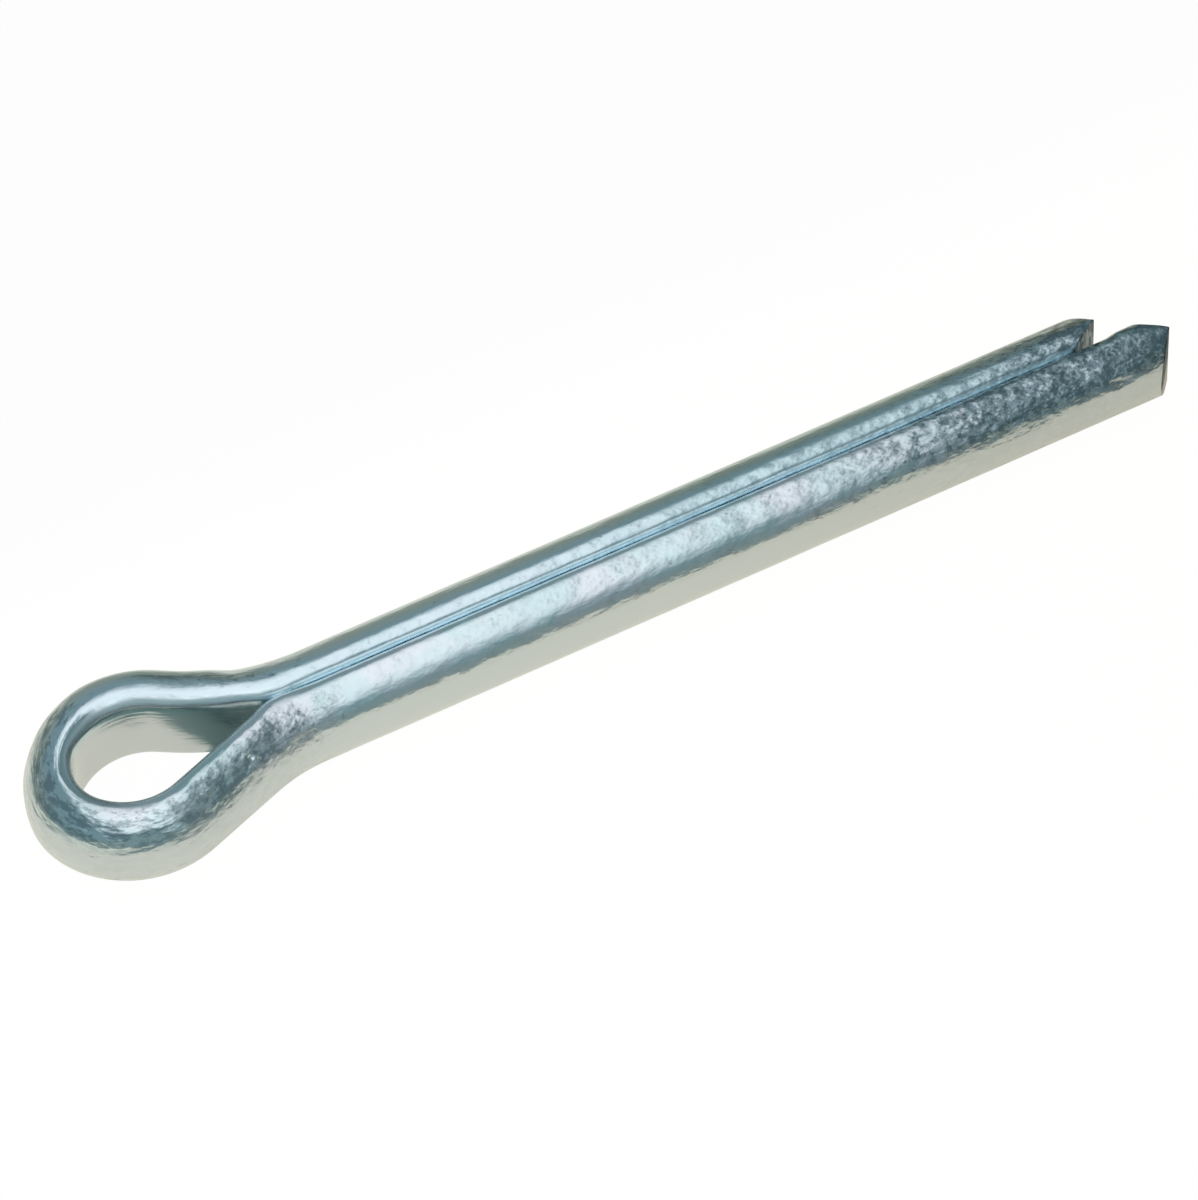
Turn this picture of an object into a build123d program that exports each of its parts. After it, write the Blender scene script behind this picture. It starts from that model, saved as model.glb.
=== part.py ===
"""Cotter pin: half-round wire folded flat side to flat side into an eye and two legs.

The pin lies on its side. The origin is on the shank's axis, where the legs close under the eye,
+X runs along the shank to the tips, +Y is the side of the short leg and +Z is up.
"""

import os
from math import cos, radians, sin, tan

from build123d import *

# Shank, in millimetres
shank_diameter = 9.4
leg_gap = 0.2
wire_corner_radius = 0.85
short_leg_length = 75.2
tip_step = 5.4

# Eye: one crown arc, and on each side a shoulder arc, a straight limb and a neck arc
crown_radius = 3.85
short_crown_turn = 48.5
short_shoulder_radius = 5.95
short_limb_angle = 30.5
short_neck_radius = 24.5
long_crown_turn = 43.5
long_shoulder_radius = 5.75
long_limb_angle = 19.5
long_neck_radius = 18.5
crown_offset = 0.5

# Sheared tips: two bevels that meet in a ridge
ridge_offset = 1.8
round_bevel_angle = 38.0
flat_bevel_length = 2.9
shear_tilt = 4.0
tip_edge_radius = 0.15


def limb(shoulder_radius, crown_turn, limb_angle, neck_radius, crown_side):
    """Straight length of a limb, and the distance along X from the crown to its neck's end."""
    turn = radians(crown_turn)
    slope = radians(limb_angle)
    shoulder_y = crown_side + (crown_radius - shoulder_radius) * sin(turn) + shoulder_radius * cos(slope)
    neck_y = leg_gap / 2 + neck_radius * (1 - cos(slope))
    length = (shoulder_y - neck_y) / sin(slope)
    bend_run = crown_radius * (1 - cos(turn)) + shoulder_radius * (cos(turn) + sin(slope))
    reach = bend_run + length * cos(slope) + neck_radius * sin(slope)
    return length, reach


short_limb_length, short_reach = limb(
    short_shoulder_radius, short_crown_turn, short_limb_angle, short_neck_radius, crown_offset
)
long_limb_length, long_reach = limb(
    long_shoulder_radius, long_crown_turn, long_limb_angle, long_neck_radius, -crown_offset
)

# Both legs lie side by side from x = 0 on
crown_x = -max(short_reach, long_reach)
short_tip_x = short_leg_length
long_tip_x = short_leg_length + tip_step

# The legs are swept past their tips, and the waste cut off reaches past the blank and the round side
blank_allowance = shank_diameter / 2
waste_reach = shank_diameter
round_bevel_run = (waste_reach - ridge_offset) * tan(radians(round_bevel_angle))
lean = radians(shear_tilt)

with BuildPart() as cotter_pin:
    # The wire's flat side, from the short leg's end round the eye to the long leg's end
    with BuildLine() as bend_line:
        short_leg = Line(
            (short_tip_x + blank_allowance, leg_gap / 2),
            (crown_x + short_reach, leg_gap / 2),
        )
        short_neck = JernArc(short_leg @ 1, short_leg % 1, short_neck_radius, -short_limb_angle)
        short_limb = Line(short_neck @ 1, short_neck @ 1 + (short_neck % 1) * short_limb_length)
        short_shoulder = JernArc(
            short_limb @ 1,
            short_limb % 1,
            short_shoulder_radius,
            90 + short_limb_angle - short_crown_turn,
        )
        crown = JernArc(
            short_shoulder @ 1,
            short_shoulder % 1,
            crown_radius,
            short_crown_turn + long_crown_turn,
        )
        long_shoulder = JernArc(
            crown @ 1,
            crown % 1,
            long_shoulder_radius,
            90 + long_limb_angle - long_crown_turn,
        )
        long_limb = Line(long_shoulder @ 1, long_shoulder @ 1 + (long_shoulder % 1) * long_limb_length)
        long_neck = JernArc(long_limb @ 1, long_limb % 1, long_neck_radius, -long_limb_angle)
        Line(long_neck @ 1, (long_tip_x + blank_allowance, -leg_gap / 2))

    # Half of the shank's round less half of the gap, with its two corners rounded
    wire_end = Plane(origin=(short_tip_x + blank_allowance, 0, 0), x_dir=(0, 1, 0), z_dir=(-1, 0, 0))
    with BuildSketch(wire_end) as wire_section:
        Circle(shank_diameter / 2)
        with Locations((leg_gap / 2, 0)):
            Rectangle(
                shank_diameter,
                shank_diameter,
                align=(Align.MAX, Align.CENTER),
                mode=Mode.SUBTRACT,
            )
        fillet(wire_section.vertices(), wire_corner_radius)
    sweep(path=bend_line.wire())

    # Waste past the two bevels of each tip, cut in the leg's own half, with the cut leaning along the pin
    for tip_x, side in ((short_tip_x, 1), (long_tip_x, -1)):
        shear = Plane(origin=(tip_x, 0, 0), z_dir=(-sin(lean), 0, cos(lean)))
        with BuildSketch(shear) as tip_waste:
            with BuildLine():
                Polyline(
                    (-flat_bevel_length, 0),
                    (0, side * ridge_offset),
                    (-round_bevel_run, side * waste_reach),
                    (waste_reach, side * waste_reach),
                    (waste_reach, 0),
                    close=True,
                )
            make_face()
        extrude(amount=waste_reach, both=True, mode=Mode.SUBTRACT)
        fillet(cotter_pin.edges(Select.NEW), tip_edge_radius)

cotter_pin.part.label = "cotter_pin"

os.makedirs("parts", exist_ok=True)
export_step(cotter_pin.part, "parts/cotter_pin.step")
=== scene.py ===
"""A zinc plated cotter pin that lies on a pale studio floor.

The pin is one half-round wire. It is traced as a section, fed and bent round the same arcs as the
solid it stands for, sheared at both tips and dressed in a bright zinc finish. Sizes are in
millimetres until the finished mesh is brought to metres.
"""

import logging
from dataclasses import dataclass, field
from enum import Enum
from functools import reduce
from math import atan2, ceil, cos, pi, radians, sin, sqrt, tan

import bmesh
import bpy
from mathutils import Matrix, Vector, noise


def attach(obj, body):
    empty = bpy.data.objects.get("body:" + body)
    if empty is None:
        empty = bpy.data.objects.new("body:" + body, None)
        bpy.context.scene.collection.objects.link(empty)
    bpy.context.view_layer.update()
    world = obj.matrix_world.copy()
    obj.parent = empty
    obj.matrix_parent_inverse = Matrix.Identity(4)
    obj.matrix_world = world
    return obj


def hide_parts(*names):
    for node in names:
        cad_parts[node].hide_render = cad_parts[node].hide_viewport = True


LOG = logging.getLogger("cotter_pin")
MM = 0.001
STOCK = "stock"

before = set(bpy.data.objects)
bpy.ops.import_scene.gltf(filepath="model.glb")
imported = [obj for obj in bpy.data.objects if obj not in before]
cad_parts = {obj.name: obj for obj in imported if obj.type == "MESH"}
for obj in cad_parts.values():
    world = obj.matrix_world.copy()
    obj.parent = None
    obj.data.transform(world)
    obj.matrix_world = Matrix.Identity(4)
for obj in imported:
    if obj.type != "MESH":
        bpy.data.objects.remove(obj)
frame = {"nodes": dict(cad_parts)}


class Side(Enum):
    """The two legs, by the sign of the half that each one fills."""

    SHORT = 1
    LONG = -1


class Turn(Enum):
    """Which way the wire bends as it is fed."""

    LEFT = 1
    RIGHT = -1


class Surface(Enum):
    """The wire's two surfaces, by material index."""

    PLATED = 0
    SHEARED = 1


@dataclass(frozen=True)
class WireSection:
    """Half-round section: half of the shank's round, less half of the gap, with two round corners."""

    diameter: float = 9.4
    leg_gap: float = 0.02
    corner_radius: float = 1.2
    round_steps: int = 46
    corner_steps: int = 10
    flat_steps: int = 22
    weld: float = 0.01

    @property
    def radius(self) -> float:
        """Radius of the shank's round."""
        return self.diameter / 2

    @property
    def flat_at(self) -> float:
        """Distance of the flat side from the shank's axis."""
        return self.leg_gap / 2

    @property
    def depth(self) -> float:
        """Thickness of the wire, square to its flat side."""
        return self.radius - self.flat_at

    @property
    def corner_height(self) -> float:
        """Height of a corner arc's centre above the middle of the section."""
        inset = self.flat_at + self.corner_radius
        return sqrt((self.radius - self.corner_radius) ** 2 - inset**2)

    def trace(self, mesh: bmesh.types.BMesh, start: Vector) -> list:
        """Draws the section as a closed ring of edges, square to X.

        Args:
            mesh: The mesh that takes the ring.
            start: The middle of the flat side.

        Returns:
            The ring's edges.
        """
        axis = Vector((start.x, 0, 0))
        corner_y = self.flat_at + self.corner_radius
        half_round = atan2(self.corner_height, corner_y)
        arcs = (
            (Vector((start.x, corner_y, -self.corner_height)), pi - half_round, self.corner_steps),
            (axis, 2 * half_round, self.round_steps),
            (Vector((start.x, corner_y, self.corner_height)), pi - half_round, self.corner_steps),
        )
        tip = mesh.verts.new((start.x, self.flat_at, -self.corner_height))
        for centre, angle, steps in arcs:
            spun = bmesh.ops.spin(
                mesh,
                geom=[tip],
                cent=centre,
                axis=(1, 0, 0),
                angle=angle,
                steps=steps,
                use_duplicate=False,
            )
            tip = next(item for item in spun["geom_last"] if isinstance(item, bmesh.types.BMVert))
        flat_step = Vector((0, 0, -2 * self.corner_height / self.flat_steps))
        for _ in range(self.flat_steps):
            drawn = bmesh.ops.extrude_vert_indiv(mesh, verts=[tip])
            tip = drawn["verts"][0]
            bmesh.ops.translate(mesh, verts=[tip], vec=flat_step)
        bmesh.ops.remove_doubles(mesh, verts=mesh.verts[:], dist=self.weld)
        return mesh.edges[:]


@dataclass
class WireBender:
    """Feeds a section of wire along its flat side and bends it, as a forming machine does.

    Each point keeps where it was in the straight stock, as (fed length, depth, height).
    """

    mesh: bmesh.types.BMesh
    section: WireSection
    start: Vector
    ring_pitch: float = 0.36
    heading: float = pi
    fed: float = 0.0
    flat: Vector = field(init=False)
    ring: list = field(init=False)
    stock: bmesh.types.BMLayerItem = field(init=False)

    def __post_init__(self) -> None:
        """Traces the section at the blank's end."""
        self.flat = self.start.copy()
        self.stock = self.mesh.verts.layers.float_vector.new(STOCK)
        self.ring = self.section.trace(self.mesh, self.start)
        for point in self.mesh.verts:
            point[self.stock] = (0, point.co.y - self.section.flat_at, point.co.z)

    @property
    def ahead(self) -> Vector:
        """The direction in which the wire leaves the machine."""
        return Vector((cos(self.heading), sin(self.heading), 0))

    def _mark_stock(self, first: int, steps: int, length: float) -> None:
        """Writes the fed length on the rings made since the vertex count was first.

        Args:
            first: Number of vertices before the rings were made.
            steps: Number of rings.
            length: Fed length that they cover.
        """
        self.mesh.verts.ensure_lookup_table()
        around = len(self.ring)
        for step in range(steps):
            fed = self.fed + length * (step + 1) / steps
            start = first + step * around
            for point in self.mesh.verts[start:start + around]:
                _, depth, height = point[self.stock]
                point[self.stock] = (fed, depth, height)
        self.fed += length

    def feed(self, length: float, steps: int = 0) -> None:
        """Feeds a straight run.

        Args:
            length: Length of the run.
            steps: Number of rings, or 0 for rings at the usual pitch.
        """
        steps = steps or ceil(length / self.ring_pitch)
        first = len(self.mesh.verts)
        made = bmesh.ops.extrude_edge_only(self.mesh, edges=self.ring)["geom"]
        points = [item for item in made if isinstance(item, bmesh.types.BMVert)]
        bmesh.ops.translate(self.mesh, verts=points, vec=self.ahead * length)
        old_ring = self.ring
        self.ring = [item for item in made if isinstance(item, bmesh.types.BMEdge)]
        self._mark_stock(first, 1, length)
        self.flat += self.ahead * length
        if steps > 1:
            ends = {*old_ring, *self.ring}
            walls = [item for item in made if isinstance(item, bmesh.types.BMFace)]
            lines = list({edge for wall in walls for edge in wall.edges} - ends)
            bmesh.ops.subdivide_edges(self.mesh, edges=lines, cuts=steps - 1, use_grid_fill=True)

    def bend(self, radius: float, turn: float, way: Turn) -> None:
        """Bends the wire round a pin.

        Args:
            radius: Radius of the flat side's arc.
            turn: Angle of the bend, in degrees.
            way: Left for round the flat side, right for round the round side.
        """
        angle = way.value * radians(turn)
        centre = self.flat + Vector((-self.ahead.y, self.ahead.x, 0)) * radius * way.value
        widest = radius + self.section.depth if way is Turn.LEFT else radius
        steps = ceil(widest * abs(angle) / self.ring_pitch)
        first = len(self.mesh.verts)
        corners = {corner for edge in self.ring for corner in edge.verts}
        spun = bmesh.ops.spin(
            self.mesh,
            geom=[*corners, *self.ring],
            cent=centre,
            axis=(0, 0, 1),
            angle=angle,
            steps=steps,
            use_duplicate=False,
        )
        self.ring = [item for item in spun["geom_last"] if isinstance(item, bmesh.types.BMEdge)]
        self._mark_stock(first, steps, radius * abs(angle))
        self.flat = centre + Matrix.Rotation(angle, 3, "Z") @ (self.flat - centre)
        self.heading += angle


@dataclass(frozen=True)
class Limb:
    """One side of the eye, from the crown to the leg."""

    crown_turn: float
    shoulder_radius: float
    angle: float
    neck_radius: float
    crown_side: float

    @property
    def shoulder_turn(self) -> float:
        """Angle of the shoulder's bend, in degrees."""
        return 90 + self.angle - self.crown_turn

    def straight(self, crown_radius: float, flat_at: float) -> float:
        """Length of the straight stretch between shoulder and neck.

        Args:
            crown_radius: Radius of the crown's arc.
            flat_at: Distance of the leg's flat side from the shank's axis.

        Returns:
            The length.
        """
        slope = radians(self.angle)
        shoulder_y = (
            self.crown_side
            + (crown_radius - self.shoulder_radius) * sin(radians(self.crown_turn))
            + self.shoulder_radius * cos(slope)
        )
        return (shoulder_y - flat_at - self.neck_radius * (1 - cos(slope))) / sin(slope)


@dataclass(frozen=True)
class ShearedTip:
    """A leg's end, sheared to a flat bevel and a round bevel that meet in a ridge."""

    ridge_offset: float = 1.8
    round_bevel_angle: float = 38.0
    flat_bevel_length: float = 2.9
    shear_tilt: float = 4.0
    edge_radius: float = 0.15
    edge_steps: int = 3
    cut_tolerance: float = 1e-5
    zone_tolerance: float = 1e-4

    def cut(self, mesh: bmesh.types.BMesh, tip_x: float, side: Side, zone: float) -> None:
        """Cuts the two bevels, closes them and breaks their edges.

        Args:
            mesh: The bent wire.
            tip_x: Where the ridge is, along the shank.
            side: The leg that is cut.
            zone: Length of the leg's end that holds the bevels.
        """
        tilt = radians(self.shear_tilt)
        across = Vector((0, side.value, 0))
        along = Vector((cos(tilt), 0, sin(tilt)))
        ridge = Vector((tip_x, 0, 0)) + across * self.ridge_offset
        flat_slope = (along * self.flat_bevel_length + across * self.ridge_offset).normalized()
        round_slope = (across - along * tan(radians(self.round_bevel_angle))).normalized()
        sheared = Surface.SHEARED.value
        for slope in (flat_slope, round_slope):
            outward = slope.cross(Vector((-sin(tilt), 0, cos(tilt))))
            outward *= 1 if outward.x > 0 else -1
            parts = [
                part
                for group in (mesh.verts, mesh.edges, mesh.faces)
                for part in group
                if self._belongs(part, tip_x - zone, side)
            ]
            cut = bmesh.ops.bisect_plane(
                mesh,
                geom=parts,
                dist=self.cut_tolerance,
                plane_co=ridge,
                plane_no=outward,
                clear_outer=True,
            )
            rim = [item for item in cut["geom_cut"] if isinstance(item, bmesh.types.BMEdge)]
            for cap in bmesh.ops.contextual_create(mesh, geom=rim)["faces"]:
                cap.material_index = sheared
        caps = [
            face
            for face in mesh.faces
            if face.material_index == sheared and self._belongs(face, tip_x - zone, side)
        ]
        rims = list({edge for cap in caps for edge in cap.edges})
        bevelled = bmesh.ops.bevel(
            mesh,
            geom=rims,
            offset=self.edge_radius,
            offset_type="OFFSET",
            segments=self.edge_steps,
            profile=0.5,
            affect="EDGES",
            material=-1,
        )
        for face in bevelled["faces"]:
            face.material_index = sheared

    def _belongs(self, part: object, zone_start: float, side: Side) -> bool:
        """Whether a vertex, edge or face lies in the end of a leg.

        Args:
            part: A vertex, an edge or a face.
            zone_start: Where the end starts, along the shank.
            side: The leg.

        Returns:
            True if all of it does.
        """
        points = [part] if isinstance(part, bmesh.types.BMVert) else part.verts
        start = zone_start - self.zone_tolerance
        return all(point.co.x > start and point.co.y * side.value > 0 for point in points)


def ramp(value: float, low: float, high: float) -> float:
    """Smooth step from 0 at low to 1 at high."""
    share = min(max((value - low) / (high - low), 0.0), 1.0)
    return share * share * (3 - 2 * share)


@dataclass(frozen=True)
class Forming:
    """What bending and shearing leave on the wire, by fed length, depth and height in the stock."""

    outer_depth: tuple = (0.3, 1.2)
    least_depth: float = 0.01
    crown_at: float = 102.9
    crown_reach: float = 3.0
    crown_thinned: float = 0.36
    shoulder_rise: tuple = (86.0, 89.5)
    shoulder_fall: tuple = (97.6, 100.6)
    shoulder_swell: float = 0.34
    pinch_fall: tuple = (3.0, 7.0)
    pinch_depth: tuple = (0.6, 2.8)
    flare_at: float = 76.9
    flare_reach: float = 2.3
    flare: float = 0.24
    flare_height: tuple = (2.0, 3.6)
    flare_depth: tuple = (0.3, 2.2)
    peak: tuple = (0.0, 0.8)
    wave_depth: float = 0.03
    wave_length: float = 5.0
    wave_width: float = 3.0

    def swell(self, fed: float, depth: float, height: float) -> float:
        """How far the surface stands out along its normal.

        Args:
            fed: Fed length of the point.
            depth: Its distance from the flat side.
            height: Its height.

        Returns:
            The distance, negative where the surface is sunk.
        """
        slope = atan2(height, max(depth, self.least_depth))
        crown = ramp(1 - abs(fed - self.crown_at) / self.crown_reach, *self.peak)
        shoulder = ramp(fed, *self.shoulder_rise) * (1 - ramp(fed, *self.shoulder_fall))
        thinned = self.crown_thinned * crown * cos(slope)
        swollen = self.shoulder_swell * shoulder * sin(2 * slope) ** 2
        where = Vector((fed / self.wave_length, depth / self.wave_width, height / self.wave_width))
        wave = 0.5 + 0.5 * noise.noise(where, noise_basis="PERLIN_ORIGINAL")
        return ramp(depth, *self.outer_depth) * (swollen - thinned) - wave * self.wave_depth

    def pinched(self, place: Vector, depth: float, neck_radius: float) -> float:
        """How far a neck's flat side is pressed to the other, where the legs meet under the eye.

        Args:
            place: A point of the pin.
            depth: Its distance from the flat side.
            neck_radius: Radius of the neck that it is on.

        Returns:
            The distance along Y.
        """
        if not -self.pinch_fall[1] < place.x < 0:
            return 0.0
        parted = place.x**2 / 2 / neck_radius
        held = (1 - ramp(-place.x, *self.pinch_fall)) * (1 - ramp(depth, *self.pinch_depth))
        return -parted * held if place.y > 0 else parted * held

    def flared(self, place: Vector) -> float:
        """How far the shear pushes the long leg's corners out, past the short leg's tip.

        Args:
            place: A point of the pin.

        Returns:
            The distance along Y.
        """
        if place.y > 0:
            return 0.0
        near = ramp(1 - abs(place.x - self.flare_at) / self.flare_reach, *self.peak)
        corner = ramp(abs(place.z), *self.flare_height) * (1 - ramp(-place.y, *self.flare_depth))
        return self.flare * near * corner


class NodeBench:
    """Places and joins the nodes of one node tree."""

    def __init__(self, tree: bpy.types.NodeTree) -> None:
        """Keeps the tree."""
        self.tree = tree

    def node(self, kind: str, settings: dict | None = None, **inputs: object) -> bpy.types.Node:
        """Adds a node.

        Args:
            kind: The node's type name.
            settings: Its properties by name.
            inputs: Its inputs by name, with underscores for spaces, each a value or an output to link.

        Returns:
            The node.
        """
        made = self.tree.nodes.new(kind)
        for name, value in (settings or {}).items():
            setattr(made, name, value)
        for name, value in inputs.items():
            self.set(made, name.replace("_", " "), value)
        return made

    def set(self, node: bpy.types.Node, name: str | int, value: object) -> None:
        """Sets or links one input of a node.

        Args:
            node: The node.
            name: The input's name or place.
            value: A value, or an output to link.
        """
        socket = node.inputs[name]
        if isinstance(value, bpy.types.NodeSocket):
            self.tree.links.new(value, socket)
        else:
            socket.default_value = value

    def math(self, operation: str, *values: object, clamp: bool = False) -> bpy.types.NodeSocket:
        """Adds a Math node.

        Args:
            operation: What it does.
            values: Its inputs, each a value or an output to link.
            clamp: Whether its result stays from 0 to 1.

        Returns:
            Its output.
        """
        made = self.node("ShaderNodeMath", {"operation": operation, "use_clamp": clamp})
        for place, value in enumerate(values):
            self.set(made, place, value)
        return made.outputs[0]

    def product(self, *values: object) -> bpy.types.NodeSocket:
        """Multiplies two or more values or outputs."""
        return reduce(lambda first, second: self.math("MULTIPLY", first, second), values)

    def span(
        self, value: object, low: float, high: float, to_low: float = 0.0, to_high: float = 1.0
    ) -> bpy.types.NodeSocket:
        """Maps a value smoothly from one range to another.

        Args:
            value: The output to map.
            low: Start of its range.
            high: End of its range.
            to_low: Result at the start.
            to_high: Result at the end.

        Returns:
            The mapped output.
        """
        made = self.node("ShaderNodeMapRange", {"interpolation_type": "SMOOTHSTEP"})
        for place, item in enumerate((value, low, high, to_low, to_high)):
            self.set(made, place, item)
        return made.outputs["Result"]

    def fade(self, value: object, low: float, high: float) -> bpy.types.NodeSocket:
        """Maps a value smoothly to 1 at low and 0 at high."""
        return self.span(value, low, high, 1.0, 0.0)

    def axes(self, vector: object) -> tuple:
        """Splits a vector into its X, Y and Z outputs."""
        return tuple(self.node("ShaderNodeSeparateXYZ", Vector=vector).outputs)

    def measure(self, operation: str, *vectors: object) -> bpy.types.NodeSocket:
        """Adds a Vector Math node that gives a number.

        Args:
            operation: What it does.
            vectors: Its inputs, each a vector or an output to link.

        Returns:
            Its number.
        """
        made = self.node("ShaderNodeVectorMath", {"operation": operation})
        for place, vector in enumerate(vectors):
            self.set(made, place, vector)
        return made.outputs["Value"]

    def mix(
        self, share: object, first: object, second: object, blend: str = "MIX"
    ) -> bpy.types.NodeSocket:
        """Mixes two colours.

        Args:
            share: Share of the second.
            first: A colour or an output.
            second: A colour or an output.
            blend: How the second goes over the first.

        Returns:
            The mixed colour.
        """
        made = self.node("ShaderNodeMix", {"data_type": "RGBA", "blend_type": blend})
        for place, item in ((0, share), (6, first), (7, second)):
            self.set(made, place, item)
        return made.outputs[2]

    def layer(self, share: object, first: object, second: object) -> bpy.types.NodeSocket:
        """Mixes two shaders.

        Args:
            share: Share of the second.
            first: A shader's output.
            second: A shader's output.

        Returns:
            The mixed shader.
        """
        made = self.node("ShaderNodeMixShader", Fac=share)
        self.set(made, 1, first)
        self.set(made, 2, second)
        return made.outputs[0]


def new_material(name: str) -> tuple:
    """Makes a material with its usual shader.

    Args:
        name: The material's name.

    Returns:
        The material, its bench and its shader node.
    """
    material = bpy.data.materials.new(name)
    material.use_nodes = True
    return material, NodeBench(material.node_tree), material.node_tree.nodes["Principled BSDF"]


@dataclass(frozen=True)
class Grain:
    """A noise over the straight stock, drawn out along the wire where the squeeze is below 1."""

    scale: float
    squeeze: float = 1.0
    detail: float = 2.0
    roughness: float = 0.5

    def add(self, bench: NodeBench, stock: object) -> bpy.types.NodeSocket:
        """Adds the noise to a node tree.

        Args:
            bench: The tree's bench.
            stock: The place in the stock.

        Returns:
            Its value, from 0 to 1.
        """
        drawn = bench.node("ShaderNodeMapping", Vector=stock, Scale=(self.squeeze, 1.0, 1.0))
        made = bench.node(
            "ShaderNodeTexNoise",
            Vector=drawn.outputs[0],
            Scale=self.scale,
            Detail=self.detail,
            Roughness=self.roughness,
        )
        return made.outputs["Fac"]


@dataclass(frozen=True)
class DentedSkin:
    """Small dents, drawing lines, worn specks and stain of plated wire. Heights are in millimetres."""

    name: str = "dented_skin"
    dents: tuple = (
        (Grain(0.55, 0.55), 0.20),
        (Grain(1.2, 0.55, roughness=0.55), 0.095),
        (Grain(3.2, 0.75, detail=1.0), 0.012),
    )
    lines: Grain = Grain(1.8, 0.05, 3.0, 0.6)
    line_height: float = 0.012
    specks: Grain = Grain(1.4, 0.75, 3.0, 0.75)
    speck_range: tuple = (0.56, 0.73)
    wear_share: float = 0.18
    stain: Grain = Grain(0.45, 0.55, 3.0, 0.6)
    stain_range: tuple = (0.38, 0.62)

    def build(self) -> bpy.types.NodeTree:
        """Makes the group.

        Returns:
            The group. Its height is in millimetres, and its specks and its stain are masks.
        """
        group = bpy.data.node_groups.new(self.name, "ShaderNodeTree")
        group.interface.new_socket(name="Stock", in_out="INPUT", socket_type="NodeSocketVector")
        sockets = {"INPUT": ("Dents", "Lines", "Wear"), "OUTPUT": ("Height", "Specks", "Stain")}
        for way, names in sockets.items():
            for name in names:
                group.interface.new_socket(name=name, in_out=way, socket_type="NodeSocketFloat")
        bench = NodeBench(group)
        given = bench.node("NodeGroupInput").outputs
        result = bench.node("NodeGroupOutput")
        stock = given["Stock"]
        dents = 0.0
        for grain, height in self.dents:
            dents = bench.math("MULTIPLY_ADD", grain.add(bench, stock), height, dents)
        lines = bench.product(self.lines.add(bench, stock), self.line_height)
        dents = bench.product(dents, given["Dents"])
        bench.set(result, "Height", bench.math("MULTIPLY_ADD", lines, given["Lines"], dents))
        specks = self.specks.add(bench, stock)
        specks = bench.math("MULTIPLY_ADD", given["Wear"], self.wear_share, specks)
        bench.set(result, "Specks", bench.span(specks, *self.speck_range))
        bench.set(result, "Stain", bench.span(self.stain.add(bench, stock), *self.stain_range))
        return group


@dataclass(frozen=True)
class Spot:
    """Where a point is on the pin, as outputs in one material. Masks run from 0 to 1."""

    place: bpy.types.NodeSocket
    stock: bpy.types.NodeSocket
    along: bpy.types.NodeSocket
    depth: bpy.types.NodeSocket
    top: bpy.types.NodeSocket
    far: bpy.types.NodeSocket
    tipward: bpy.types.NodeSocket
    bent: bpy.types.NodeSocket
    rim: bpy.types.NodeSocket


@dataclass(frozen=True)
class Zones:
    """Where the plate differs on the pin.

    Ranges are in metres, but outer_depth, rim_from and rim_to are depths in the stock, in millimetres.
    """

    top: tuple = (0.0018, 0.0033)
    far: tuple = (-0.0002, 0.0004)
    near: tuple = (0.001, 0.005)
    crown: tuple = (-0.0205, -0.0165)
    eye_end: tuple = (-0.006, 0.003)
    outer_depth: tuple = (0.6, 2.4)
    dulled: tuple = (0.040, 0.067)
    far_later: float = 0.011
    rim_from: tuple = (0.03, 0.12)
    rim_to: tuple = (0.35, 0.8)
    rim_end: tuple = (-0.006, -0.002)

    def read(self, bench: NodeBench) -> Spot:
        """Adds the coordinates and the masks to a material.

        Args:
            bench: The bench of the material's tree.

        Returns:
            Their outputs. The rim is the wire's inner corner, round the eye.
        """
        stock = bench.node("ShaderNodeAttribute", {"attribute_name": STOCK}).outputs["Vector"]
        place = bench.node("ShaderNodeTexCoord").outputs["Object"]
        along, side, height = bench.axes(place)
        depth = bench.axes(stock)[1]
        far = bench.span(side, *self.far)
        fed = bench.math("MULTIPLY_ADD", far, -self.far_later, along)
        outer = bench.span(depth, *self.outer_depth)
        curved = bench.math("MAXIMUM", bench.fade(side, *self.near), bench.fade(along, *self.crown))
        rim = bench.product(bench.span(depth, *self.rim_from), bench.fade(depth, *self.rim_to))
        return Spot(
            place=place,
            stock=stock,
            along=along,
            depth=depth,
            top=bench.span(height, *self.top),
            far=far,
            tipward=bench.span(fed, *self.dulled),
            bent=bench.product(bench.fade(along, *self.eye_end), curved, outer),
            rim=bench.product(rim, bench.fade(along, *self.rim_end)),
        )


@dataclass(frozen=True)
class Levels:
    """A value on the straight legs, in the bent eye and at the tips."""

    leg: float
    eye: float
    tip: float

    def blend(self, bench: NodeBench, bent: object, tipward: object) -> bpy.types.NodeSocket:
        """Blends the three over the pin.

        Args:
            bench: The bench of the material's tree.
            bent: Mask of the eye.
            tipward: Mask of the tips.

        Returns:
            The blended value.
        """
        level = bench.math("MULTIPLY_ADD", tipward, self.tip - self.leg, self.leg)
        return bench.math("MULTIPLY_ADD", bent, self.eye - self.leg, level)


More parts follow.
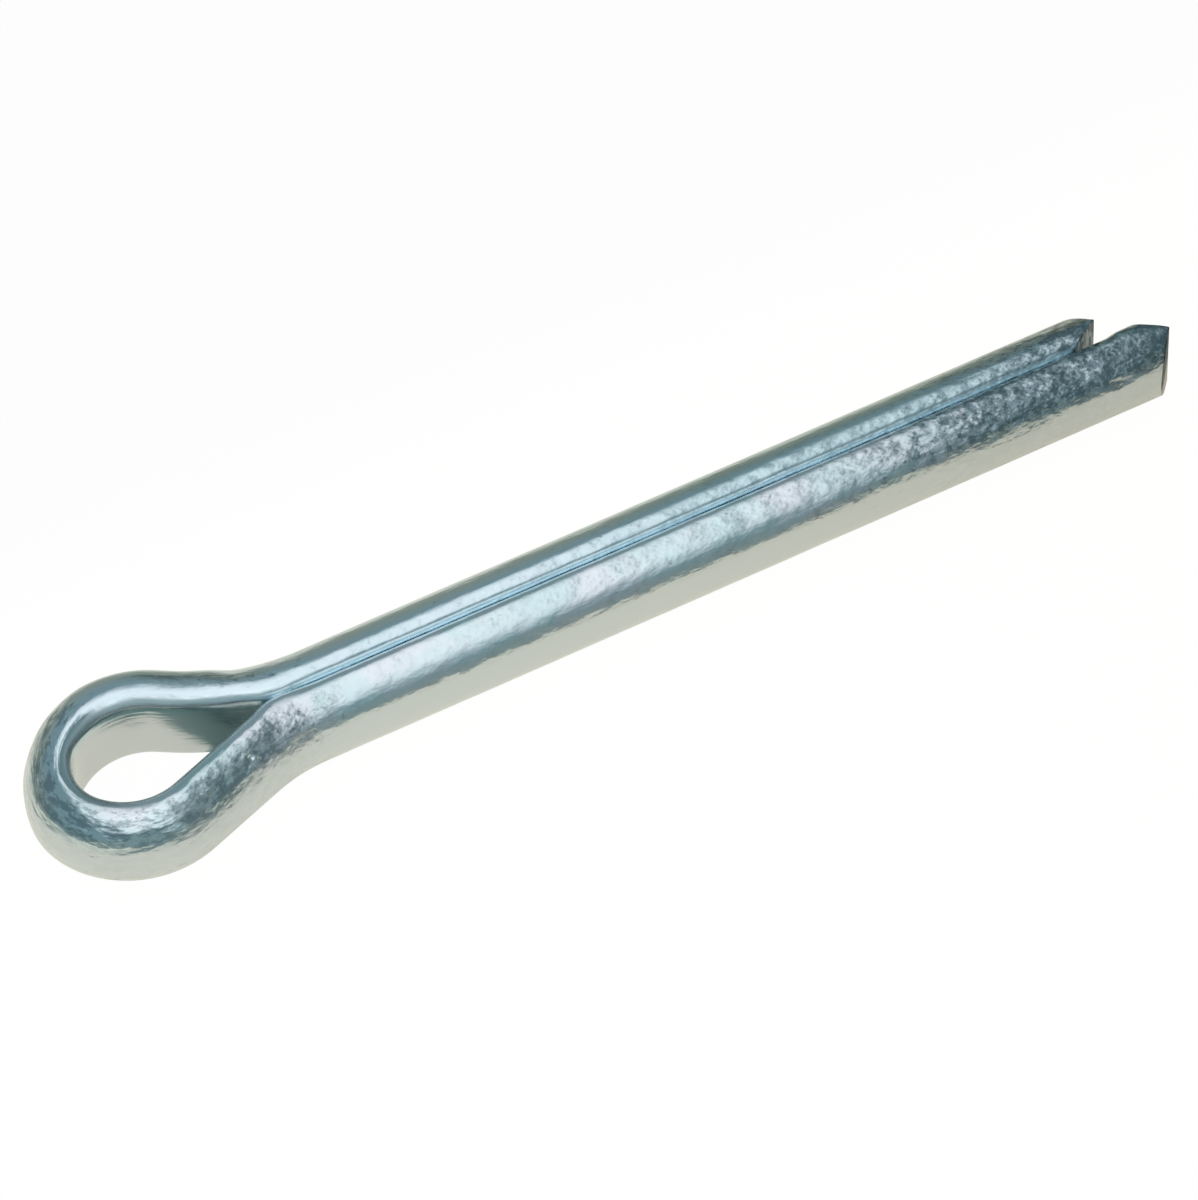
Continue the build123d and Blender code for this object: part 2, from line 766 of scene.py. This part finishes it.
@dataclass(frozen=True)
class ZincFinish:
    """Bright zinc plate: glossy on the legs, dented in the eye, dull and specked at the tips, with a
    painted bluish reflection tint on top.

    Depths are in millimetres, and the other ranges and the nicks' places in metres.
    """

    name: str = "zinc_plate"
    zones: Zones = Zones()
    bright: tuple = (0.62, 0.66, 0.69, 1.0)
    lilac: tuple = (0.61, 0.67, 0.74, 1.0)
    teal: tuple = (0.48, 0.65, 0.69, 1.0)
    patches: Grain = Grain(0.16, detail=3.0, roughness=0.6)
    patch_range: tuple = (0.40, 0.60)
    # Share of the lilac and teal tint on top: a painted reflection tint that keeps the top bluer while
    # the lower side mirrors the cream floor.
    top_reflection_tint_share: float = 0.7
    far_tint: tuple = (0.50, 0.65, 0.73, 1.0)
    far_share: float = 0.75
    # Darker teal over the middle stretch of the far leg.
    far_middle_darkening: tuple = (0.40, 0.58, 0.64, 1.0)
    far_middle_from: tuple = (0.022, 0.040)
    far_middle_to: tuple = (0.060, 0.072)
    dull: tuple = (0.18, 0.25, 0.285, 1.0)
    speck_share: float = 0.70
    tip_share: float = 0.33
    stain_share: float = 0.15
    side_share: float = 0.10
    # Painted light: a paler colour on the inner corners by the groove and round the eye's rim, lifting
    # the shade there.
    inner_corner_light: tuple = (0.78, 0.90, 0.95, 1.0)
    inner_corner_light_share: float = 0.85
    inner_corner_light_depth: tuple = (0.05, 0.55)
    inner_corner_light_from: tuple = (-0.008, -0.003)
    roughness: Levels = Levels(0.13, 0.31, 0.20)
    satin_from: tuple = (-0.0185, -0.0135)
    rim_roughness: float = 0.22
    stain_roughness: float = 0.05
    dents: Levels = Levels(0.42, 1.35, 1.20)
    flat_dents: float = 0.4
    flat_depth: tuple = (0.02, 0.5)
    wear: Levels = Levels(-0.35, 0.78, 1.0)
    nick_depth: float = 0.10
    nicks: tuple = (
        ((-0.00802, -0.00427, 0.00371), 0.00042),
        ((-0.00730, -0.00455, 0.00348), 0.00032),
    )

    def build(self, skin: bpy.types.NodeTree) -> bpy.types.Material:
        """Makes the material.

        Args:
            skin: The group for dents, drawing lines, specks and stain.

        Returns:
            The material.
        """
        material, bench, shader = new_material(self.name)
        spot = self.zones.read(bench)
        dents = self.dents.blend(bench, spot.bent, spot.tipward)
        grain = bench.node(
            "ShaderNodeGroup",
            {"node_tree": skin},
            Stock=spot.stock,
            Dents=bench.product(dents, bench.span(spot.depth, *self.flat_depth, self.flat_dents, 1.0)),
            Lines=bench.math("ADD", spot.far, 1.0),
            Wear=self.wear.blend(bench, spot.bent, spot.tipward),
        ).outputs
        height = grain["Height"]
        worn = self._worn(bench, spot, grain["Specks"], grain["Stain"])
        for centre, reach in self.nicks:
            nick = bench.fade(bench.measure("DISTANCE", spot.place, centre), 0.0, reach)
            height = bench.math("MULTIPLY_ADD", nick, -self.nick_depth, height)
            worn = bench.math("SUBTRACT", worn, nick, clamp=True)
        bump = bench.node("ShaderNodeBump", Height=height, Strength=1.0, Distance=MM)
        bench.set(shader, "Base Color", self._color(bench, spot, worn))
        bench.set(shader, "Metallic", 1.0)
        bench.set(shader, "Roughness", self._roughness(bench, spot, grain["Stain"]))
        bench.set(shader, "Normal", bump.outputs["Normal"])
        return material

    def _worn(
        self, bench: NodeBench, spot: Spot, specks: object, stain: object
    ) -> bpy.types.NodeSocket:
        """Adds the mask of worn plate, mostly on top.

        Args:
            bench: The bench of the material's tree.
            spot: Where a point is on the pin.
            specks: Mask of the specks.
            stain: Mask of the stain.

        Returns:
            The mask.
        """
        worn = bench.product(spot.tipward, self.tip_share)
        worn = bench.math("MULTIPLY_ADD", specks, self.speck_share, worn)
        worn = bench.math("MULTIPLY_ADD", bench.product(stain, spot.tipward), self.stain_share, worn)
        upward = bench.math("MULTIPLY_ADD", spot.top, 1 - self.side_share, self.side_share)
        return bench.math("MULTIPLY", worn, upward, clamp=True)

    def _color(self, bench: NodeBench, spot: Spot, worn: object) -> bpy.types.NodeSocket:
        """Adds the plate's colour, with painted light on the inner corners and a painted bluish
        reflection tint on top.

        Args:
            bench: The bench of the material's tree.
            spot: Where a point is on the pin.
            worn: Mask of worn plate.

        Returns:
            The colour.
        """
        patches = bench.span(self.patches.add(bench, spot.stock), *self.patch_range)
        tint = bench.mix(patches, self.lilac, self.teal)
        tint = bench.mix(bench.product(spot.far, self.far_share), tint, self.far_tint)
        # The far leg turns a darker teal over its middle stretch.
        far_middle_darkening = bench.span(spot.along, *self.far_middle_from)
        far_middle_darkening = bench.product(spot.far, far_middle_darkening, bench.fade(spot.along, *self.far_middle_to))
        tint = bench.mix(far_middle_darkening, tint, self.far_middle_darkening)
        # Painted reflection tint: only the top takes the bluish tint, and the lower side stays plain.
        color = bench.mix(bench.product(spot.top, self.top_reflection_tint_share), self.bright, tint)
        color = bench.mix(worn, color, self.dull)
        # Painted light on the inner corners along the groove and round the eye's rim, lifting the shade
        # that falls there.
        inner_corner_light = bench.span(spot.depth, *self.inner_corner_light_depth, self.inner_corner_light_share, 0.0)
        inner_corner_light = bench.product(inner_corner_light, bench.span(spot.along, *self.inner_corner_light_from))
        inner_corner_light = bench.product(bench.math("MAXIMUM", inner_corner_light, spot.rim), spot.top)
        return bench.mix(inner_corner_light, color, self.inner_corner_light)

    def _roughness(self, bench: NodeBench, spot: Spot, stain: object) -> bpy.types.NodeSocket:
        """Adds the plate's roughness.

        Args:
            bench: The bench of the material's tree.
            spot: Where a point is on the pin.
            stain: Mask of the stain.

        Returns:
            The roughness.
        """
        limb = bench.product(spot.bent, bench.span(spot.along, *self.satin_from))
        roughness = self.roughness.blend(bench, limb, spot.tipward)
        roughness = bench.math("MULTIPLY_ADD", spot.rim, self.rim_roughness, roughness)
        return bench.math("MULTIPLY_ADD", stain, self.stain_roughness, roughness)


@dataclass(frozen=True)
class ShearedFinish:
    """Sheared steel with a torn grain: dark on the long leg, under thin plate on the short one, and a
    painted floor reflection low on the long leg.
    """

    name: str = "sheared_zinc"
    dark: tuple = (0.05, 0.07, 0.09, 1.0)
    light: tuple = (0.17, 0.21, 0.235, 1.0)
    plated_dark: tuple = (0.13, 0.18, 0.21, 1.0)
    plated_light: tuple = (0.46, 0.52, 0.56, 1.0)
    plated_side: tuple = (-0.0004, 0.0004)
    # Painted reflection of the cream floor, low on the long leg's sheared faces.
    floor_reflection_tint: tuple = (0.85, 0.76, 0.65, 1.0)
    floor_reflection_share: float = 0.75
    floor_reflection_height: tuple = (-0.0012, 0.0006)
    floor_reflection_side: tuple = (-0.0004, 0.0)
    grazing: tuple = (0.66, 0.66, 0.66, 1.0)
    roughness: float = 0.42
    grain_scale: tuple = (1000.0, 1000.0, 350.0)
    dents: float = 0.7
    lines: float = 1.0
    wear: float = 0.9

    def build(self, skin: bpy.types.NodeTree) -> bpy.types.Material:
        """Makes the material.

        Args:
            skin: The group for dents, drawing lines and specks.

        Returns:
            The material.
        """
        material, bench, shader = new_material(self.name)
        place = bench.node("ShaderNodeTexCoord").outputs["Object"]
        _, side, height = bench.axes(place)
        grain = bench.node(
            "ShaderNodeGroup",
            {"node_tree": skin},
            Stock=bench.node("ShaderNodeMapping", Vector=place, Scale=self.grain_scale).outputs[0],
            Dents=self.dents,
            Lines=self.lines,
            Wear=self.wear,
        ).outputs
        plated = bench.span(side, *self.plated_side)
        light = bench.mix(plated, self.light, self.plated_light)
        dark = bench.mix(plated, self.dark, self.plated_dark)
        # Painted floor reflection: a cream tint low on the long leg's sheared faces.
        low = bench.span(height, *self.floor_reflection_height, self.floor_reflection_share, 0.0)
        low = bench.product(low, bench.fade(side, *self.floor_reflection_side))
        color = bench.mix(low, bench.mix(grain["Specks"], light, dark), self.floor_reflection_tint)
        bump = bench.node("ShaderNodeBump", Height=grain["Height"], Strength=1.0, Distance=MM)
        bench.set(shader, "Base Color", color)
        bench.set(shader, "Metallic", 1.0)
        bench.set(shader, "Roughness", self.roughness)
        bench.set(shader, "Specular Tint", self.grazing)
        bench.set(shader, "Normal", bump.outputs["Normal"])
        return material


@dataclass
class CotterPin:
    """The pin's wire: eye, two legs and sheared tips."""

    section: WireSection = WireSection()
    tip: ShearedTip = ShearedTip()
    forming: Forming = Forming()
    plate: ZincFinish = ZincFinish()
    shear: ShearedFinish = ShearedFinish()
    short_leg_length: float = 75.2
    tip_step: float = 5.4
    crown_radius: float = 3.76
    short_limb: Limb = Limb(48.5, 5.86, 30.5, 24.59, 0.5)
    long_limb: Limb = Limb(43.5, 5.66, 19.5, 18.59, -0.5)
    tip_zone: float = 4.6
    tip_blank: float = 4.7
    sharp_angle: float = 40.0

    @property
    def long_tip_x(self) -> float:
        """Where the long leg's tip is, along the shank."""
        return self.short_leg_length + self.tip_step

    def build(self) -> bpy.types.Object:
        """Bends, shears and finishes the wire's mesh.

        Returns:
            The pin's object, in metres.
        """
        mesh = bmesh.new()
        self._bend(mesh)
        self.tip.cut(mesh, self.short_leg_length, Side.SHORT, self.tip_zone)
        self.tip.cut(mesh, self.long_tip_x, Side.LONG, self.tip_zone)
        bmesh.ops.recalc_face_normals(mesh, faces=mesh.faces[:])
        if mesh.calc_volume(signed=True) < 0:
            bmesh.ops.reverse_faces(mesh, faces=mesh.faces[:])
        self._form(mesh)
        bmesh.ops.scale(mesh, vec=(MM, MM, MM), verts=mesh.verts[:])
        data = bpy.data.meshes.new("cotter_pin_wire")
        mesh.to_mesh(data)
        mesh.free()
        data.shade_smooth()
        data.set_sharp_from_angle(angle=radians(self.sharp_angle))
        pin = bpy.data.objects.new("cotter_pin_wire", data)
        bpy.context.scene.collection.objects.link(pin)
        return pin

    def dress(self, pin: bpy.types.Object) -> None:
        """Gives the pin its two finishes, in the order of their surfaces.

        Args:
            pin: The pin's object.
        """
        skin = DentedSkin().build()
        finishes = {Surface.PLATED: self.plate, Surface.SHEARED: self.shear}
        for surface in Surface:
            pin.data.materials.append(finishes[surface].build(skin))

    def _bend(self, mesh: bmesh.types.BMesh) -> None:
        """Feeds and bends the wire, from the short leg's end round the eye to the long leg's end.

        Args:
            mesh: The mesh that takes the wire.
        """
        flat_at = self.section.flat_at
        start = Vector((self.short_leg_length + self.tip_blank, flat_at, 0))
        bender = WireBender(mesh, self.section, start)
        end_stretch = self.tip_zone + self.tip_blank
        bender.feed(end_stretch, steps=1)
        bender.feed(self.short_leg_length - self.tip_zone)
        bender.bend(self.short_limb.neck_radius, self.short_limb.angle, Turn.RIGHT)
        bender.feed(self.short_limb.straight(self.crown_radius, flat_at))
        bender.bend(self.short_limb.shoulder_radius, self.short_limb.shoulder_turn, Turn.LEFT)
        crown_turn = self.short_limb.crown_turn + self.long_limb.crown_turn
        bender.bend(self.crown_radius, crown_turn, Turn.LEFT)
        bender.bend(self.long_limb.shoulder_radius, self.long_limb.shoulder_turn, Turn.LEFT)
        bender.feed(self.long_limb.straight(self.crown_radius, flat_at))
        bender.bend(self.long_limb.neck_radius, self.long_limb.angle, Turn.RIGHT)
        bender.feed(self.long_tip_x - self.tip_zone - bender.flat.x)
        bender.feed(end_stretch, steps=1)
        LOG.info("wire: %.1f mm fed, %d points round", bender.fed, len(bender.ring))

    def _form(self, mesh: bmesh.types.BMesh) -> None:
        """Gives the even wire what forming leaves: a thinner crown, a swell, waves and a flared tip.

        Args:
            mesh: The finished wire, in millimetres.
        """
        mesh.normal_update()
        stock = mesh.verts.layers.float_vector[STOCK]
        for point in mesh.verts:
            point.co += point.normal * self.forming.swell(*point[stock])
            limb = self.short_limb if point.co.y > 0 else self.long_limb
            point.co.y += self.forming.pinched(point.co, point[stock].y, limb.neck_radius)
            point.co.y += self.forming.flared(point.co)


@dataclass(frozen=True)
class PhotoCamera:
    """A pin-hole camera at the photograph's angle, aimed by azimuth, elevation and roll."""

    azimuth: float = 26.118
    elevation: float = 57.748
    roll: float = -1.003
    distance: float = 429.37
    aim_along: float = 26.287
    aim_right: float = -0.167
    aim_up: float = -1.652
    focal_pixels: float = 5087.5
    frame_width: float = 1198.0
    sensor_width: float = 36.0
    clip_start: float = 0.05
    clip_end: float = 20.0

    def place(self) -> bpy.types.Object:
        """Makes the camera and makes it the scene's.

        Returns:
            The camera's object.
        """
        turn, dip, roll = radians(self.azimuth), radians(self.elevation), radians(self.roll)
        level = Vector((cos(turn), -sin(turn), 0))
        forward = Vector((sin(turn) * cos(dip), cos(turn) * cos(dip), -sin(dip)))
        above = level.cross(forward)
        right = level * cos(roll) + above * sin(roll)
        up = above * cos(roll) - level * sin(roll)
        aim = Vector((self.aim_along, 0, 0)) + right * self.aim_right + up * self.aim_up
        data = bpy.data.cameras.new("photo_camera")
        data.sensor_fit = "HORIZONTAL"
        data.sensor_width = self.sensor_width
        data.lens = self.focal_pixels / self.frame_width * self.sensor_width
        data.clip_start = self.clip_start
        data.clip_end = self.clip_end
        camera = bpy.data.objects.new("photo_camera", data)
        turned = Matrix((right, up, -forward)).transposed().to_4x4()
        camera.matrix_world = Matrix.Translation((aim - forward * self.distance) * MM) @ turned
        bpy.context.scene.collection.objects.link(camera)
        bpy.context.scene.camera = camera
        return camera


@dataclass(frozen=True)
class Room:
    """A broad soft light overhead that fades into dim walls.

    front_edge, back_edge and narrowed_by are in degrees, and the other ranges parts of a unit vector.
    """

    level: float = 1.33
    light: tuple = (1.0, 1.0, 1.0, 1.0)
    narrowed_by: float = 12.0
    narrowed: tuple = (-0.06, 0.16)
    front_edge: tuple = (-72.0, -34.0)
    back_edge: tuple = (4.0, 84.0)
    west_edge: tuple = (-0.70, -0.26)
    corner_edge: tuple = (0.38, 0.68)
    east_edge: tuple = (0.215, 0.395)
    walls: tuple = (0.205, 0.280, 0.300, 1.0)
    horizon: tuple = (0.235, 0.280, 0.262, 1.0)
    horizon_to: tuple = (0.0, 0.5)
    far_walls: tuple = (0.165, 0.220, 0.230, 1.0)
    far_horizon: tuple = (0.085, 0.100, 0.090, 1.0)
    far_horizon_to: tuple = (0.0, 0.35)
    far_from: tuple = (0.20, 0.42)

    def build(self) -> bpy.types.World:
        """Makes the room's light.

        Returns:
            The world.
        """
        world = bpy.data.worlds.new("room")
        world.use_nodes = True
        bench = NodeBench(world.node_tree)
        east, north, height = bench.axes(bench.node("ShaderNodeTexCoord").outputs["Generated"])
        raised = bench.span(height, *self.horizon_to)
        walls = bench.mix(raised, self.horizon, self.walls)
        raised = bench.span(height, *self.far_horizon_to)
        far_walls = bench.mix(raised, self.far_horizon, self.far_walls)
        walls = bench.mix(bench.span(east, *self.far_from), walls, far_walls)
        backdrop = world.node_tree.nodes["Background"]
        lit = self._overhead(bench, east, north, height)
        bench.set(backdrop, "Color", bench.mix(lit, walls, self.light))
        bench.set(backdrop, "Strength", self.level)
        return world

    def _overhead(
        self, bench: NodeBench, east: object, north: object, height: object
    ) -> bpy.types.NodeSocket:
        """Adds the mask of the light overhead, a fan that narrows toward the eye's end.

        Args:
            bench: The bench of the world's tree.
            east: Share of a direction along X.
            north: Share along Y.
            height: Share along Z.

        Returns:
            The mask.
        """
        lean = bench.math("ARCTAN2", north, height)
        slant = bench.span(east, *self.narrowed, radians(self.narrowed_by), 0.0)
        front_edge = [radians(angle) for angle in self.front_edge]
        back_edge = [radians(angle) for angle in self.back_edge]
        return bench.product(
            bench.span(bench.math("SUBTRACT", lean, slant), *front_edge),
            bench.fade(bench.math("ADD", lean, slant), *back_edge),
            bench.span(east, *self.west_edge),
            bench.fade(bench.math("SUBTRACT", north, east), *self.corner_edge),
            bench.fade(east, *self.east_edge),
        )


@dataclass(frozen=True)
class Paper:
    """The floor's paper: burnt out to white where it is seen, cream and shaded where it is mirrored."""

    name: str = "floor_paper"
    roughness: float = 0.9
    eye_paper: tuple = (0.93, 0.89, 0.76, 1.0)
    tip_paper: tuple = (0.80, 0.74, 0.60, 1.0)
    paper_ends: tuple = (0.0, 0.10)
    unshaded: tuple = (1.0, 1.0, 1.0, 1.0)
    back_shade: tuple = (0.40, 0.43, 0.42, 1.0)
    back_from: tuple = (0.010, 0.034)
    eye_shade: tuple = (0.54, 0.75, 0.78, 1.0)
    eye_centre: tuple = (-0.0115, -0.0002, 0.0)
    eye_reach: tuple = (0.0130, 0.0045, 1.0)
    eye_edge: tuple = (0.85, 1.05)
    eye_lit_side: tuple = (0.0004, 0.0011)
    eye_lit_end: tuple = (-0.0102, -0.0092)
    eye_neck: tuple = (-0.0090, -0.0050)
    eye_neck_share: float = 0.35
    glow_share: float = 0.45
    glow_level: float = 1.45
    white: tuple = (1.0, 1.0, 1.0, 1.0)
    white_share: float = 0.92
    white_level: float = 1.05

    def build(self) -> bpy.types.Material:
        """Makes the material.

        Returns:
            The material.
        """
        material, bench, shader = new_material(self.name)
        place = bench.node("ShaderNodeTexCoord").outputs["Object"]
        along, side, _ = bench.axes(place)
        deep = self._deep(bench, place)
        color = bench.mix(bench.span(along, *self.paper_ends), self.eye_paper, self.tip_paper)
        shade = bench.mix(bench.span(side, *self.back_from), self.unshaded, self.back_shade)
        shade = bench.mix(deep, shade, self.eye_shade)
        color = bench.mix(1.0, color, shade, "MULTIPLY")
        bench.set(shader, "Base Color", color)
        bench.set(shader, "Roughness", self.roughness)
        bench.set(shader, "Specular IOR Level", 0.0)
        matt = shader.outputs[0]
        glow = bench.node("ShaderNodeEmission", Color=color, Strength=self.glow_level).outputs[0]
        white = bench.node("ShaderNodeEmission", Color=self.white, Strength=self.white_level).outputs[0]
        glowing = bench.product(bench.math("SUBTRACT", 1.0, deep), self.glow_share)
        mirrored = bench.layer(glowing, matt, glow)
        seen = bench.layer(self.white_share, matt, white)
        camera_ray = bench.node("ShaderNodeLightPath").outputs["Is Camera Ray"]
        surface = bench.layer(camera_ray, mirrored, seen)
        bench.set(material.node_tree.nodes["Material Output"], "Surface", surface)
        return material

    def _deep(self, bench: NodeBench, place: object) -> bpy.types.NodeSocket:
        """Adds the mask of the deep shade in the eye, less the patch that the light reaches.

        Args:
            bench: The bench of the material's tree.
            place: A point of the floor.

        Returns:
            The mask.
        """
        shrunk = tuple(1 / reach for reach in self.eye_reach)
        moved = tuple(-centre / reach for centre, reach in zip(self.eye_centre, self.eye_reach))
        within = bench.node("ShaderNodeMapping", Vector=place, Location=moved, Scale=shrunk).outputs[0]
        along, side, _ = bench.axes(place)
        lit = bench.product(bench.span(side, *self.eye_lit_side), bench.fade(along, *self.eye_lit_end))
        return bench.product(
            bench.fade(bench.measure("LENGTH", within), *self.eye_edge),
            bench.math("SUBTRACT", 1.0, lit),
            bench.span(along, *self.eye_neck, 1.0, self.eye_neck_share),
        )


@dataclass(frozen=True)
class Studio:
    """A pale paper floor under a soft light overhead, in a dim room. Sizes are in metres."""

    floor_size: float = 6.0
    paper: Paper = Paper()
    room: Room = Room()

    def build(self, floor_height: float) -> None:
        """Lays the floor and lights the room.

        Args:
            floor_height: Height of the floor.
        """
        mesh = bmesh.new()
        bmesh.ops.create_grid(mesh, x_segments=1, y_segments=1, size=self.floor_size / 2)
        bmesh.ops.translate(mesh, verts=mesh.verts[:], vec=(0, 0, floor_height))
        data = bpy.data.meshes.new("floor")
        mesh.to_mesh(data)
        mesh.free()
        data.materials.append(self.paper.build())
        floor = bpy.data.objects.new("floor", data)
        bpy.context.scene.collection.objects.link(floor)
        bpy.context.scene.world = self.room.build()
        bpy.context.scene.view_settings.view_transform = "Standard"


def corners(box: tuple) -> list:
    """A box's lowest and highest corner as lists of numbers."""
    return [list(corner) for corner in box]


def main(frame: dict) -> None:
    """Builds the pin, the studio and the camera in order.

    Args:
        frame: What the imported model's loader returned.
    """
    logging.basicConfig(level=logging.INFO, format="%(name)s: %(message)s")
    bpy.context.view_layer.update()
    LOG.info("frame: nodes %s", ", ".join(frame["nodes"]))
    cotter_pin = CotterPin()
    pin = cotter_pin.build()
    cotter_pin.dress(pin)
    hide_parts("cotter_pin")
    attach(pin, "root")
    LOG.info("%s: %d faces", pin.name, len(pin.data.polygons))
    Studio().build(min(point.co.z for point in pin.data.vertices))
    PhotoCamera().place()


if __name__ == "__main__":
    main(frame)
